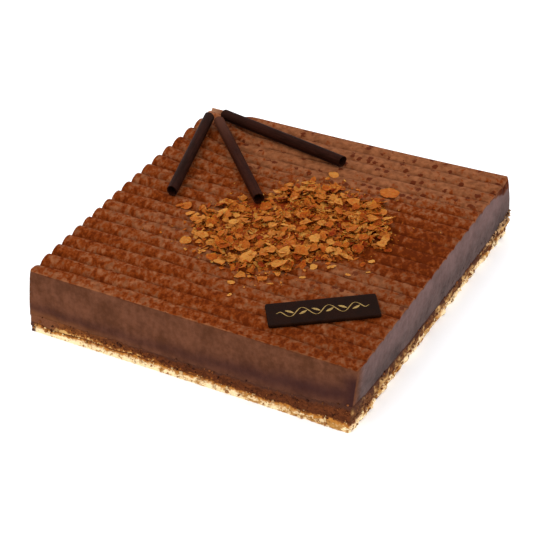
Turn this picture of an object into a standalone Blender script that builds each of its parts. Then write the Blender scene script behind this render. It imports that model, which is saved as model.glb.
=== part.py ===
"""A square trianon cake: nut sponge, praline crisp and chocolate mousse with a combed top.

The origin is the middle of the underside.  +Z is up, +X runs along the combed ridges and +Y
runs to the edge where the chocolate sticks meet.  Everything is in metres.
"""
import math
import random

import bmesh
import bpy
from mathutils import Matrix, Vector, noise

MM = 0.001
SEED = 20
GAP = 0.3 * MM                      # left between pieces that touch

# The block.  It was cut by hand, so the corners of its foot stand a little off those of its top.
HEIGHT = 40.0 * MM                  # to the crests of the ridges
TOP_CORNERS_MM = {
    (-1, -1): (-99.1, -98.3),
    (1, -1): (101.5, -98.3),
    (1, 1): (101.5, 102.2),
    (-1, 1): (-99.3, 101.9),
}
FOOT_CORNERS_MM = {
    (-1, -1): (-101.9, -102.1),
    (1, -1): (97.8, -102.0),
    (1, 1): (100.8, 103.5),
    (-1, 1): (-101.0, 103.0),
}
BELLY_MM = {                        # how far the sides bulge at half height
    (-1, -1): (-0.6, -0.6),
    (1, -1): (0.0, 0.0),
    (1, 1): (1.8, 1.1),
    (-1, 1): (-0.5, 0.5),
}
BELLY_AT = 18.0 * MM                # height of the ring of facets that follows the bulge
LEFT_BOW = 1.2 * MM                 # the left side stands out in its middle
BACK_BOW = 1.6 * MM                 # and the back edge in
BACK_BOW_POWER = 8                  # how near the back edge that stays
CORNER_ROUND = 0.012                # radius of the upright corners, in half sides
SIDE_STEPS = 26                     # facets along each side of the two lower layers
HALF_SIDE = 100.0 * MM

# The layers, from the underside up.
SPONGE_TOP = 5.6 * MM
SPONGE_WAVE = 1.5 * MM
CRISP_TOP = 11.6 * MM
CRISP_WAVE = 0.7 * MM
CRISP_RISE = 6.0 * MM               # more crisp at the front right corner
CRISP_RISE_REACH = 30.0 * MM
CRAG = 0.9 * MM                     # how far the crumb stands in and out at the sides
WAVE_LENGTH = 13.0 * MM
CRAG_LENGTH = 5.0 * MM
RIM = 12.0 * MM                     # the layers' waves fade out this far in from the side
FOOT_ROUND = 0.8 * MM
CUTTER_REACH = 6.0 * MM             # how far a cutter stands past what it cuts
SPONGE_CRAG_AT = 0.6                # heights of the craggiest rings, in layer thicknesses
CRISP_CRAG_AT = 0.5
SPONGE_NOISE = 3.7                  # which stretch of the noise each surface follows
CRISP_NOISE = 8.1
SPONGE_CRAG_NOISES = (1.0, 2.0)
CRISP_CRAG_NOISE = 4.0

# The combed ridges of the mousse.  Pairs hold a value for the left and for the right side.
COMB_FIRST = (-87.7 * MM, -88.9 * MM)
COMB_PITCH = (9.99 * MM, 10.05 * MM)
COMB_DRIFT = (2.2 * MM, -1.2 * MM)  # of the middle lines off an even pitch
COMB_LINES = 19
COMB_DEPTH = 1.3 * MM
COMB_DEEPER = 2.0 * MM              # more depth at the left side, and how soon it fades
COMB_DEEPER_REACH = 45.0 * MM
COMB_BEND = 0.19 * MM               # the lines towards the back bend away near the left side
COMB_BEND_FROM = 6.5                # the line that the bend grows from
COMB_BEND_REACH = 43.0 * MM
COMB_BEND_POWER = 1.5
COMB_CROWD = 1.2 * MM               # least room for a line before the back edge
END_RIDGE = 16.0 * MM               # width of the first and last ridge, partly past the edge
RIDGE_STEEPEST = 0.3                # most depth of a ridge, in its own widths
COMB_WOBBLE = 0.35 * MM
COMB_WOBBLE_LENGTH = 45.0 * MM
COMB_WOBBLE_STEP = 2.4              # radians from one line to the next
RIDGE_STEPS = 6                     # facets across a ridge
RIDGE_COLUMNS = 5                   # facets along a ridge
MOUSSE_FOOT = 6.0 * MM              # cut away by the crisp below

# The chocolate sticks: hollow rolls, each from its far end to its near end, in plan.
STICK_RADIUS = 3.75 * MM
STICK_BORE = 2.75 * MM
STICK_SIDES = 20
STICKS_MM = {
    "stick_left": ((-91.5, 83.3), (-66.9, -1.1)),
    "stick_middle": ((-83.0, 81.2), (-17.0, 13.3)),
    "stick_right": ((-84.0, 89.8), (8.6, 70.2)),
}
STICK_SLANT = 0.12                  # the ends are broken a little out of square
STICK_SHARP = math.radians(40.0)    # edges sharper than this aren't smoothed

# The plaque.
PLAQUE_SIZE = Vector((59.0, 19.5, 1.8)) * MM
PLAQUE_CENTRE = Vector((63.8, -63.4)) * MM
PLAQUE_TURN = math.radians(35.0)
PLAQUE_EDGE = 0.35 * MM

# The heap of wafer flakes, and the strays round it.
HEAP_CENTRE = Vector((11.5, 0.0)) * MM
HEAP_REACH = 50.0 * MM
HEAP_LOBES = ((2, 0.15, 0.22), (4, 0.08, 0.84))     # count, size and start of its edge's waves
HEAP_CORE = 0.88                    # the core's edge, in heap reaches
HEAP_CORE_SPLITS = 3
HEAP_RISE = 3.4 * MM                # the core over the crests
HEAP_SINK = 4.0 * MM
HEAP_FLAKES = 135
HEAP_SPREAD = 0.93                  # the outermost flakes of the heap, in heap reaches
HEAP_LIFT = 1.0                     # the flakes over the core, in flake thicknesses
HEAP_SHIFT = 2.0 * MM
HEAP_EDGE_FLAKES_MM = (             # x, y and size of the large flakes at the heap's edge
    (52.0, 32.0, 8.0), (62.0, 14.0, 9.0), (6.0, -39.0, 11.0), (23.7, -35.9, 11.5),
    (-35.5, -28.0, 9.0), (-34.0, -38.0, 7.5), (36.4, -38.2, 6.0),
)
STRAYS_MM = (                       # and of the strays
    (47.3, 55.6, 12.0), (7.5, 60.1, 7.5), (-54.8, -6.4, 8.5), (-47.5, -13.0, 6.0),
    (66.5, -12.4, 4.5), (60.7, -27.6, 3.5), (6.5, -60.5, 4.5), (11.0, -71.0, 3.5),
)
STRAY_LIFT = 0.2                    # over the crests, in flake thicknesses
STRAY_TILT = 0.08                   # radians
FLAKE_THICK = 0.9 * MM
FLAKE_SIDES = 6
FLAKE_LARGE = 11.0 * MM
FLAKE_SMALL = 4.5 * MM
HEAP_SMALLNESS = 0.6                # a power: over 1 there are more large flakes, under 1 fewer
FLAKE_TILTS = (0.38, 0.14)          # in the middle of the heap and at its edge, radians
FLAKE_BOW = 0.1                     # how far a flake is bowed, in its own sizes
FLAKE_NARROW = (0.6, 0.95)          # width over length
FLAKE_CORNERS = 3                   # the waves of a flake's uneven edge
FLAKE_UNEVEN = 0.14
GOLDEN_ANGLE = math.pi * (3 - math.sqrt(5))


def clear_scene():
    for obj in list(bpy.data.objects):
        bpy.data.objects.remove(obj, do_unlink=True)


def collection(name):
    made = bpy.data.collections.new(name)
    bpy.context.scene.collection.children.link(made)
    return made


def material(name, colour, roughness):
    made = bpy.data.materials.new(name)
    made.use_nodes = True
    shader = made.node_tree.nodes["Principled BSDF"]
    shader.inputs["Base Color"].default_value = (*colour, 1.0)
    shader.inputs["Roughness"].default_value = roughness
    return made


def mesh_object(name, bm, home, look=None):
    """Turn a bmesh into an object of the given collection."""
    mesh = bpy.data.meshes.new(name)
    bm.to_mesh(mesh)
    bm.free()
    obj = bpy.data.objects.new(name, mesh)
    home.objects.link(obj)
    if look is not None:
        mesh.materials.append(look)
    return obj


def as_cutter(obj):
    obj.hide_render = True
    obj.display_type = "WIRE"
    return obj


def add_cut(obj, cutter):
    cut = obj.modifiers.new("cut_" + cutter.name, "BOOLEAN")
    cut.operation = "DIFFERENCE"
    cut.object = cutter


def apply_modifiers(obj):
    """Keep the evaluated mesh of an object as its own mesh."""
    depsgraph = bpy.context.evaluated_depsgraph_get()
    depsgraph.update()
    obj.data = bpy.data.meshes.new_from_object(obj.evaluated_get(depsgraph))
    obj.modifiers.clear()


def fuse_collection(obj, pieces):
    """Join every object of a collection to one object, then remove them."""
    join = obj.modifiers.new("fuse", "BOOLEAN")
    join.operation = "UNION"
    join.operand_type = "COLLECTION"
    join.collection = pieces
    apply_modifiers(obj)
    for piece in list(pieces.objects):
        bpy.data.objects.remove(piece, do_unlink=True)
    bpy.data.collections.remove(pieces)


def keep_outer_shell(obj):
    """Fill sealed hollows and drop loose scraps: only the widest closed shell stays."""
    bm = bmesh.new()
    bm.from_mesh(obj.data)
    left = set(bm.verts)
    shells = []
    while left:
        shell = {left.pop()}
        edge = list(shell)
        while edge:
            near = {link.other_vert(vert) for vert in edge for link in vert.link_edges}
            edge = list(near - shell)
            shell |= near
        left -= shell
        shells.append(shell)
    widest = max(shells, key=shell_width)
    bmesh.ops.delete(bm, geom=[v for v in bm.verts if v not in widest], context="VERTS")
    bm.to_mesh(obj.data)
    bm.free()


def shell_width(shell):
    places = [vert.co.x for vert in shell]
    return max(places) - min(places)


def lerp(start, end, share):
    return start + (end - start) * share


# ---- the block's outline -----------------------------------------------------------------

def among_corners(corners, u, v):
    """The point at (u, v), each -1 to 1, among four corners in millimetres."""
    point = Vector((0.0, 0.0))
    for (side, end), corner in corners.items():
        point += Vector(corner) * ((1 + side * u) * (1 + end * v) / 4)
    return point * MM


def round_corner(u, v):
    """Draw the corner of the square in to a quarter circle."""
    start = 1 - CORNER_ROUND
    du = abs(u) - start
    dv = abs(v) - start
    if min(du, dv) <= 0:
        return u, v
    shrink = max(du, dv) / math.hypot(du, dv)
    return math.copysign(start + du * shrink, u), math.copysign(start + dv * shrink, v)


def place(u, v, z):
    """The point of the leaning block at (u, v) and height z."""
    u, v = round_corner(u, v)
    share = z / HEIGHT
    foot = among_corners(FOOT_CORNERS_MM, u, v)
    top = among_corners(TOP_CORNERS_MM, u, v)
    bulge = among_corners(BELLY_MM, u, v) * (4 * share * (1 - share))
    flat = foot.lerp(top, share) + bulge
    flat.x -= LEFT_BOW * (1 - u) / 2 * (1 - v * v)
    flat.y -= BACK_BOW * ((1 + v) / 2) ** BACK_BOW_POWER * (1 - u * u)
    return Vector((flat.x, flat.y, z))


def outline():
    """(u, v) round the block's edge, anticlockwise from its front left corner."""
    start = 1 - CORNER_ROUND
    steps = [-1.0] + [lerp(-start, start, i / SIDE_STEPS) for i in range(SIDE_STEPS + 1)]
    front = [(step, -1.0) for step in steps]
    right = [(1.0, step) for step in steps]
    back = [(-step, 1.0) for step in steps]
    left = [(-1.0, -step) for step in steps]
    return front + right + back + left


# ---- the two lower layers ----------------------------------------------------------------

def noise_at(u, v, z, length, shift):
    point = place(u, v, z) / length
    return noise.noise(point + Vector((shift, -shift, 2 * shift)))


def sponge_height(u, v):
    return SPONGE_TOP + SPONGE_WAVE * noise_at(u, v, 0, WAVE_LENGTH, SPONGE_NOISE)


def crisp_height(u, v):
    corner = place(1, -1, 0).xy
    reach = (place(u, v, 0).xy - corner).length / CRISP_RISE_REACH
    rise = CRISP_RISE * math.exp(-reach)
    return CRISP_TOP + rise + CRISP_WAVE * noise_at(u, v, 0, WAVE_LENGTH, CRISP_NOISE)


def side_ring(height, out=0.0, crag=0.0, shift=0.0):
    """One ring round the block: its height and its crags vary along the way."""
    ring = []
    for u, v in outline():
        z = height(u, v)
        spread = 1 + (out + crag * noise_at(u, v, z, CRAG_LENGTH, shift)) / HALF_SIDE
        ring.append(place(u * spread, v * spread, z))
    return ring


def level(z):
    return lambda u, v: z


def between(low, high, share):
    return lambda u, v: lerp(low(u, v), high(u, v), share)


def raised(height):
    return lambda u, v: height(u, v) + GAP


def loft(name, rings, home, look=None):
    """A closed solid through rings of equal count, with both ends filled.

    Each quad is split from the ring that lies further out, so that surfaces over one another
    are split alike.
    """
    bm = bmesh.new()
    loops = [[bm.verts.new(point) for point in ring] for ring in rings]
    count = len(loops[0])
    for low, high in zip(loops, loops[1:]):
        inwards = low[0].co.xy.length > high[0].co.xy.length
        for i in range(count):
            j = (i + 1) % count
            if inwards:
                bm.faces.new((low[i], low[j], high[j]))
                bm.faces.new((low[i], high[j], high[i]))
            else:
                bm.faces.new((low[i], low[j], high[i]))
                bm.faces.new((low[j], high[j], high[i]))
    bm.faces.new(reversed(loops[0]))
    bm.faces.new(loops[-1])
    return mesh_object(name, bm, home, look)


def clearance_over(name, height, flat, cutters):
    """A cutter that takes away a layer's room, and the gap over it."""
    rings = [
        side_ring(level(-CUTTER_REACH), out=CUTTER_REACH),
        side_ring(raised(height), out=CUTTER_REACH),
        side_ring(raised(height)),
        side_ring(level(flat + GAP), out=-RIM),
    ]
    return as_cutter(loft(name, rings, cutters))


def build_sponge(parts):
    low_noise, high_noise = SPONGE_CRAG_NOISES
    craggiest = between(level(0.0), sponge_height, SPONGE_CRAG_AT)
    rings = [
        side_ring(level(0.0), out=-FOOT_ROUND),
        side_ring(level(FOOT_ROUND), crag=CRAG, shift=low_noise),
        side_ring(craggiest, crag=CRAG, shift=high_noise),
        side_ring(sponge_height),
        side_ring(level(SPONGE_TOP), out=-RIM),
    ]
    look = material("sponge", (0.80, 0.60, 0.33), 0.9)
    return loft("dacquoise_base", rings, parts, look)


def build_crisp(parts):
    underside = raised(sponge_height)
    craggiest = between(underside, crisp_height, CRISP_CRAG_AT)
    rings = [
        side_ring(level(SPONGE_TOP + GAP), out=-RIM),
        side_ring(underside),
        side_ring(craggiest, crag=CRAG, shift=CRISP_CRAG_NOISE),
        side_ring(crisp_height),
        side_ring(level(CRISP_TOP), out=-RIM),
    ]
    look = material("crisp", (0.13, 0.05, 0.02), 0.85)
    return loft("praline_crisp", rings, parts, look)


# ---- the mousse with its combed ridges ---------------------------------------------------

def across(x):
    """0 at the left side of the top, 1 at its right side."""
    return (x / MM - TOP_CORNERS_MM[-1, -1][0]) / (2 * HALF_SIDE / MM)


def comb_depth(x):
    return COMB_DEPTH + COMB_DEEPER * math.exp(-across(x) * 2 * HALF_SIDE / COMB_DEEPER_REACH)


def comb_line(x, number):
    """The y of a groove at x."""
    share = across(x)
    line = lerp(*COMB_FIRST, share) + lerp(*COMB_PITCH, share) * number
    line += lerp(*COMB_DRIFT, share) * math.sin(math.pi * number / (COMB_LINES - 1))
    line += COMB_WOBBLE * math.sin(x / COMB_WOBBLE_LENGTH * math.tau + COMB_WOBBLE_STEP * number)
    near = min(max(1 - share * 2 * HALF_SIDE / COMB_BEND_REACH, 0.0), 1.0)
    line += COMB_BEND * max(number - COMB_BEND_FROM, 0.0) ** 2 * near ** COMB_BEND_POWER
    return min(line, back_edge() - COMB_CROWD * (COMB_LINES - number))


def front_edge():
    return TOP_CORNERS_MM[-1, -1][1] * MM


def back_edge():
    return TOP_CORNERS_MM[-1, 1][1] * MM


def ridge_height(x, y, number):
    """The height of the ridge that lies past groove `number`: an arc over its chord."""
    low = comb_line(x, number)
    high = comb_line(x, number + 1)
    if number < 0:
        low = high - END_RIDGE
    if number + 1 == COMB_LINES:
        high = low + END_RIDGE
    half = (high - low) / 2
    depth = min(comb_depth(x), RIDGE_STEEPEST * (high - low))
    radius = (half * half + depth * depth) / (2 * depth)
    off = min(abs(y - (low + high) / 2), half)
    return HEIGHT - (radius - math.sqrt(radius * radius - off * off))


def top_point(column, row, raise_by):
    """The point of the combed top in the given column and row of its grid."""
    front = front_edge()
    back = back_edge()
    u = 2 * column / RIDGE_COLUMNS - 1
    x = place(u, 0, HEIGHT).x
    number = min(row // RIDGE_STEPS, COMB_LINES) - 1
    low = comb_line(x, number) if number >= 0 else front
    high = comb_line(x, number + 1) if number + 1 < COMB_LINES else back
    y = lerp(low, high, row / RIDGE_STEPS - (number + 1))
    point = place(u, (y - front) / (back - front) * 2 - 1, ridge_height(x, y, number))
    point.z += raise_by
    return point


def combed_block(name, raise_by, foot, home, look=None):
    """A block with the combed ridges on top and a flat underside at height foot."""
    rows = (COMB_LINES + 1) * RIDGE_STEPS
    bm = bmesh.new()
    bmesh.ops.create_grid(bm, x_segments=RIDGE_COLUMNS, y_segments=rows, size=1.0)
    flat = {}
    for vert in bm.verts:
        column = round((vert.co.x + 1) / 2 * RIDGE_COLUMNS)
        row = round((vert.co.y + 1) / 2 * rows)
        flat[vert] = (column, row)
    for vert, (column, row) in flat.items():
        vert.co = top_point(column, row, raise_by)
    for height in (BELLY_AT, foot):
        rim = [edge for edge in bm.edges if edge.is_boundary]
        skirt = bmesh.ops.extrude_edge_only(bm, edges=rim)["geom"]
        for vert in [item for item in skirt if isinstance(item, bmesh.types.BMVert)]:
            vert.co = down_side(vert.co, height)
    open_rim = [edge for edge in bm.edges if edge.is_boundary]
    bmesh.ops.holes_fill(bm, edges=open_rim, sides=0)
    bmesh.ops.recalc_face_normals(bm, faces=bm.faces)
    return mesh_object(name, bm, home, look)


def down_side(point, z):
    """The point at height z under a point of the block's side."""
    u = point.x / HALF_SIDE
    v = point.y / HALF_SIDE
    shift = place(u, v, z) - place(u, v, point.z)
    return point + shift


def build_mousse(parts, cutters, strays):
    look = material("mousse", (0.16, 0.065, 0.035), 0.6)
    mousse = combed_block("chocolate_mousse", 0.0, MOUSSE_FOOT, parts, look)
    pieces = collection("stray_flakes")
    for spot in strays:
        build_flake(spot, pieces)
    fuse_collection(mousse, pieces)
    keep_outer_shell(mousse)
    add_cut(mousse, clearance_over("crisp_clearance", crisp_height, CRISP_TOP, cutters))
    return mousse


# ---- the wafer flakes --------------------------------------------------------------------

def heap_lobes(turn):
    """How far the edge of the heap stands out in a direction, in heap reaches."""
    return 1 + sum(size * math.sin(count * turn + start) for count, size, start in HEAP_LOBES)


def heap_height(spot):
    """The height of the heap's core over a point in plan."""
    off = spot - HEAP_CENTRE
    share = off.length / HEAP_REACH / HEAP_CORE / heap_lobes(math.atan2(off.y, off.x))
    return HEIGHT + HEAP_RISE * math.sqrt(max(0.0, 1 - share * share))


def heap_spots(rng):
    """Where the flakes of the heap lie: from its middle outwards, then the large ones."""
    spots = []
    for i in range(HEAP_FLAKES):
        share = HEAP_SPREAD * math.sqrt((i + 0.5) / HEAP_FLAKES)
        turn = i * GOLDEN_ANGLE
        reach = HEAP_REACH * share * heap_lobes(turn)
        size = lerp(FLAKE_LARGE, FLAKE_SMALL, rng.random() ** HEAP_SMALLNESS)
        spot = HEAP_CENTRE + Vector((math.cos(turn), math.sin(turn))) * reach
        spot += Vector((rng.uniform(-HEAP_SHIFT, HEAP_SHIFT), rng.uniform(-HEAP_SHIFT, HEAP_SHIFT)))
        lift = heap_height(spot) + FLAKE_THICK * HEAP_LIFT
        tilt = lerp(*FLAKE_TILTS, share)
        spots.append((Vector((*spot, lift)), size, *random_turn(rng, tilt)))
    return spots + lying_spots(rng, HEAP_EDGE_FLAKES_MM)


def lying_spots(rng, places):
    """Flakes that lie nearly flat on the crests, at (x, y, size) in millimetres."""
    lift = HEIGHT + FLAKE_THICK * STRAY_LIFT
    return [(Vector((x * MM, y * MM, lift)), size * MM, *random_turn(rng, STRAY_TILT))
            for x, y, size in places]


def random_turn(rng, tilt):
    """A flake's pitch, roll, turn and shape."""
    return (rng.uniform(-tilt, tilt), rng.uniform(-tilt, tilt), rng.uniform(0, math.tau),
            rng.random())


def build_flake(spot, home):
    """One thin plate with an uneven edge, bowed over its middle."""
    centre, size, pitch, roll, turn, shape = spot
    bm = bmesh.new()
    bmesh.ops.create_cone(bm, cap_ends=True, cap_tris=True, segments=FLAKE_SIDES,
                          radius1=size / 2, radius2=size / 2, depth=FLAKE_THICK)
    bow = size * FLAKE_BOW * shape
    for vert in bm.verts:
        reach = vert.co.xy.length / (size / 2)
        angle = math.atan2(vert.co.y, vert.co.x)
        wave = math.sin(FLAKE_CORNERS * angle + math.tau * shape)
        uneven = 1 + FLAKE_UNEVEN * wave * reach
        vert.co.x *= uneven
        vert.co.y *= uneven * lerp(*FLAKE_NARROW, shape)
        vert.co.z -= bow * reach * reach
    tilted = Matrix.Rotation(pitch, 4, "X") @ Matrix.Rotation(roll, 4, "Y")
    bm.transform(Matrix.Translation(centre) @ tilted @ Matrix.Rotation(turn, 4, "Z"))
    return mesh_object("flake", bm, home)


def build_heap(parts, cutters, spots):
    """The heap: a low core with the flakes that show fused on."""
    bm = bmesh.new()
    bmesh.ops.create_icosphere(bm, subdivisions=HEAP_CORE_SPLITS, radius=1.0)
    for vert in bm.verts:
        reach = HEAP_REACH * HEAP_CORE * heap_lobes(math.atan2(vert.co.y, vert.co.x))
        spot = HEAP_CENTRE + vert.co.xy * reach
        z = vert.co.z * (HEAP_RISE if vert.co.z > 0 else HEAP_SINK)
        vert.co = Vector((*spot, HEIGHT + z))
    heap = mesh_object("flake_heap", bm, parts, material("wafer", (0.48, 0.22, 0.06), 0.55))
    pieces = collection("heap_flakes")
    for spot in spots:
        build_flake(spot, pieces)
    fuse_collection(heap, pieces)
    add_cut(heap, as_cutter(combed_block("comb_clearance", GAP, MOUSSE_FOOT, cutters)))
    add_cut(heap, as_cutter(stick_roll("stick_clearance", "stick_middle", 2 * GAP, cutters)))
    apply_modifiers(heap)
    keep_outer_shell(heap)
    return heap


# ---- the chocolate sticks and the plaque -------------------------------------------------

def stick_ends(name):
    far, near = STICKS_MM[name]
    return Vector(far) * MM, Vector(near) * MM


def stick_roll(label, name, grow, home, radius=STICK_RADIUS, over=0.0):
    """A round bar along a stick's axis, with its ends out of square."""
    far, near = stick_ends(name)
    along = near - far
    length = along.length + 2 * (grow + over)
    bm = bmesh.new()
    bmesh.ops.create_cone(bm, cap_ends=True, segments=STICK_SIDES, radius1=radius + grow,
                          radius2=radius + grow, depth=length)
    for vert in bm.verts:
        vert.co.z += vert.co.x * STICK_SLANT
    middle = (far + near) / 2
    centre = Vector((middle.x, middle.y, HEIGHT + GAP + STICK_RADIUS))
    turn = along.to_3d().to_track_quat("Z", "Y").to_matrix().to_4x4()
    bm.transform(Matrix.Translation(centre) @ turn)
    return mesh_object(label, bm, home)


def build_stick(name, look, parts, cutters):
    stick = stick_roll(name, name, 0.0, parts)
    stick.data.materials.append(look)
    add_cut(stick, as_cutter(stick_roll(name + "_bore", name, 0.0, cutters,
                                        radius=STICK_BORE, over=CUTTER_REACH)))
    for face in stick.data.polygons:
        face.use_smooth = True
    stick.data.set_sharp_from_angle(angle=STICK_SHARP)
    return stick


def build_plaque(parts):
    bpy.ops.mesh.primitive_cube_add(size=1.0)
    plaque = bpy.context.object
    plaque.name = "plaque"
    for owner in list(plaque.users_collection):
        owner.objects.unlink(plaque)
    parts.objects.link(plaque)
    plaque.data.transform(Matrix.Diagonal((*PLAQUE_SIZE, 1.0)))
    plaque.location = (*PLAQUE_CENTRE, HEIGHT + GAP + PLAQUE_SIZE.z / 2)
    plaque.rotation_euler = (0.0, 0.0, PLAQUE_TURN)
    edge = plaque.modifiers.new("edge", "BEVEL")
    edge.width = PLAQUE_EDGE
    edge.segments = 2
    plaque.data.materials.append(material("plaque", (0.022, 0.010, 0.009), 0.35))
    return plaque


def main():
    clear_scene()
    parts = collection("trianon_cake")
    cutters = collection("cutters")
    rng = random.Random(SEED)
    heap = heap_spots(rng)
    build_sponge(parts)
    build_crisp(parts)
    build_mousse(parts, cutters, lying_spots(rng, STRAYS_MM))
    build_heap(parts, cutters, heap)
    dark = material("dark_chocolate", (0.026, 0.014, 0.011), 0.45)
    milk = material("milk_chocolate", (0.06, 0.024, 0.014), 0.5)
    build_stick("stick_left", dark, parts, cutters)
    build_stick("stick_middle", milk, parts, cutters)
    build_stick("stick_right", dark, parts, cutters)
    build_plaque(parts)


main()
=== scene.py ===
"""The looks of a square trianon cake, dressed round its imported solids.

Everything is in metres.  The origin is the middle of the cake's underside, +Z is up, +X runs
along the combed ridges and +Y runs to the edge where the chocolate sticks meet.
"""
import math

import bpy
import numpy as np
from mathutils import Matrix, Vector, noise


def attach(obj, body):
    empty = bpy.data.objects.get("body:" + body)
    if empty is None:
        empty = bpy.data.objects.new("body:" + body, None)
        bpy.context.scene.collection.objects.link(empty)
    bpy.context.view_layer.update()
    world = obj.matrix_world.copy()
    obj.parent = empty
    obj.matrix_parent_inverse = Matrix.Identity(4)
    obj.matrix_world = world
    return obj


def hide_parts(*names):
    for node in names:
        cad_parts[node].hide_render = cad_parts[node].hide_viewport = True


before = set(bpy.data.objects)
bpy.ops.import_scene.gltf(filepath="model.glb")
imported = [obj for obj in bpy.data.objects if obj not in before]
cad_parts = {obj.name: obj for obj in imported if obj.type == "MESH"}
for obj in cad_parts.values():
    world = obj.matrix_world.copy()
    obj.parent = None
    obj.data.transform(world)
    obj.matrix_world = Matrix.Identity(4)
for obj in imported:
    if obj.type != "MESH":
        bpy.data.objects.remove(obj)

MM = 0.001
SEED = 20

# The block, as in the solids.
HEIGHT = 40.0 * MM
GAP = 0.3 * MM
HALF_SIDE = 100.0 * MM
TOP_CORNERS = np.array(((-99.1, -98.3), (101.5, -98.3), (101.5, 102.2), (-99.3, 101.9))) * MM
FOOT_CORNERS = np.array(((-101.9, -102.1), (97.8, -102.0), (100.8, 103.5), (-101.0, 103.0))) * MM
# How far the walls stand out halfway up, at each corner.
BELLY = np.array(((-0.6, -0.6), (0.0, 0.0), (1.8, 1.1), (-0.5, 0.5))) * MM
LEFT_BOW = 1.2 * MM  # the left side stands out in its middle
BACK_BOW = 1.6 * MM  # and the back edge in
BACK_BOW_POWER = 8
CORNER_ROUND = 0.012  # in half sides
SIDE_FROM = 0.995  # where a side begins, in half sides

# The two lower layers.
SPONGE_TOP = 5.6 * MM
SPONGE_WAVE = (1.5 * MM, 3.7)  # size and shift
CRISP_TOP = 11.6 * MM
CRISP_WAVE = (0.7 * MM, 8.1)
CRISP_RISE = 6.0 * MM  # towards the front right corner
CRISP_RISE_REACH = 30.0 * MM
WAVE_LENGTH = 13.0 * MM
LAYER_INSET = 12.0 * MM  # the hidden flat faces of a layer start this far in
LAYER_STEPS = 330  # facets along a side
LAYER_LEVELS = 15
SPONGE_CRAG = 1.0 * MM
CRISP_CRAG = 0.6 * MM
SPONGE_LUMPS = (3.6 * MM, 1.5 * MM)  # coarse and fine ones
CRISP_LUMPS = (2.4 * MM, 1.1 * MM)
FINE_SHARE = 0.35  # of the fine lumps
LUMP_SHARE = 1.5  # of all lumps in the crags, and of slow waves
DRIFT_SHARE = 0.5
CRAG_SWELL = (0.12, 0.88)  # the crags fade towards a layer's edges, in half turns
LUMP_SEAMS = 1.6  # over 1 the lumps get flat tops
RIGHT_CRAG = 2.0 * MM  # more crags on the right side, which also stands out
RIGHT_CRAG_LENGTH = 5.5 * MM
RIGHT_OUT = 0.9 * MM
SMEAR_REACHES = (4.0 * MM, 24.0 * MM)  # mousse smeared over them at the front left corner

# The combed ridges.  Pairs hold a value for the left and for the right side.
COMB_FIRST = (-87.7 * MM, -88.9 * MM)
COMB_PITCH = (9.99 * MM, 10.05 * MM)
COMB_DRIFT = (2.2 * MM, -1.2 * MM)  # of the middle lines off an even pitch
COMB_LINES = 19
COMB_DEPTH = 1.3 * MM
COMB_DEEPER = 2.0 * MM  # more depth at the left side, fading within its reach
COMB_DEEPER_REACH = 45.0 * MM
COMB_BEND = 0.19 * MM  # the lines towards the back bend away near the left side
COMB_BEND_FROM = 6.5
COMB_BEND_REACH = 43.0 * MM
COMB_BEND_POWER = 1.5
COMB_CROWD = 1.2 * MM  # least room for a line before the back edge
END_RIDGE = 16.0 * MM  # width of the first and last ridge, partly past the edge
RIDGE_STEEPEST = 0.3
RIDGE_FLATNESS = 0.85  # the crests' flatness away from the left side
COMB_WOBBLE = 0.35 * MM
COMB_WOBBLE_LENGTH = 45.0 * MM
COMB_WOBBLE_STEP = 2.4
COMB_SHAKE = 0.22 * MM  # a finer shake of the comb's lines
COMB_SHAKE_LENGTH = 6.0 * MM
RIDGE_STEPS = 12
TOP_COLUMNS = 210
TOP_WAVES = (  # size, length and shift: lumps, and small steps across the ridges
    (0.14 * MM, 7.0 * MM, 2.0), (0.11 * MM, np.array((1.7, 4.5, 4.5)) * MM, 4.0))
RELIEF_FADE = 2.0 * MM  # both fade this near the rim
RIM_COLUMNS = np.array((0.0, 0.1, 0.3, 0.6, 1.0)) * MM
RIM_CLEAR = 1.8 * MM  # where the even columns begin
RIM_CROWD = 1.7  # the end ridges' rows crowd towards the rim
RIM_ROUND = 0.35 * MM
RIM_SLUMP = 1.5 * MM  # more rounding towards the back right corner
GROOVE_SHARPNESS = 9  # how narrow the painted shade line in a groove is

# The walls of the mousse.
WALL_LEVELS = 24
WALL_CROWD = 1.25
WALL_SINK = 0.4 * MM  # how far they reach into the crisp
WALL_WAVES = ((0.22 * MM, 16.0 * MM, 6.0), (0.077 * MM, 3.5 * MM, 1.0))  # size, length and shift
WALL_SHAKE_LENGTH = 11.0 * MM  # how unevenly the colours below end
WALL_COCOA = 0.42
CAP_REACH = 5.5 * MM  # how far the top's brown runs down at the back right
CAP_SHADE = 1.5  # and how dark its painted shade is there, in grooves
CAP_FADE = 0.7 * MM
COOL_REACH = 9.0 * MM  # the right wall's painted cool reflection, grey and bluish, starts this far from the front
BAND_HEIGHT = (5.0 * MM, 6.5 * MM)  # a painted shade band above the foot of the front wall
BAND_REACH = (3.5 * MM, 6.5 * MM)
BAND_STRENGTH = (0.55, 1.0)
BAND_SHAKE = 1.5 * MM
CORNER_SHADE = 1.15  # painted shade: the front wall darkens towards the right corner
CORNER_SHADE_REACH = 15.0 * MM
WARM_FOOT = 4.5 * MM  # and its foot is warmer on the left

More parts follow.
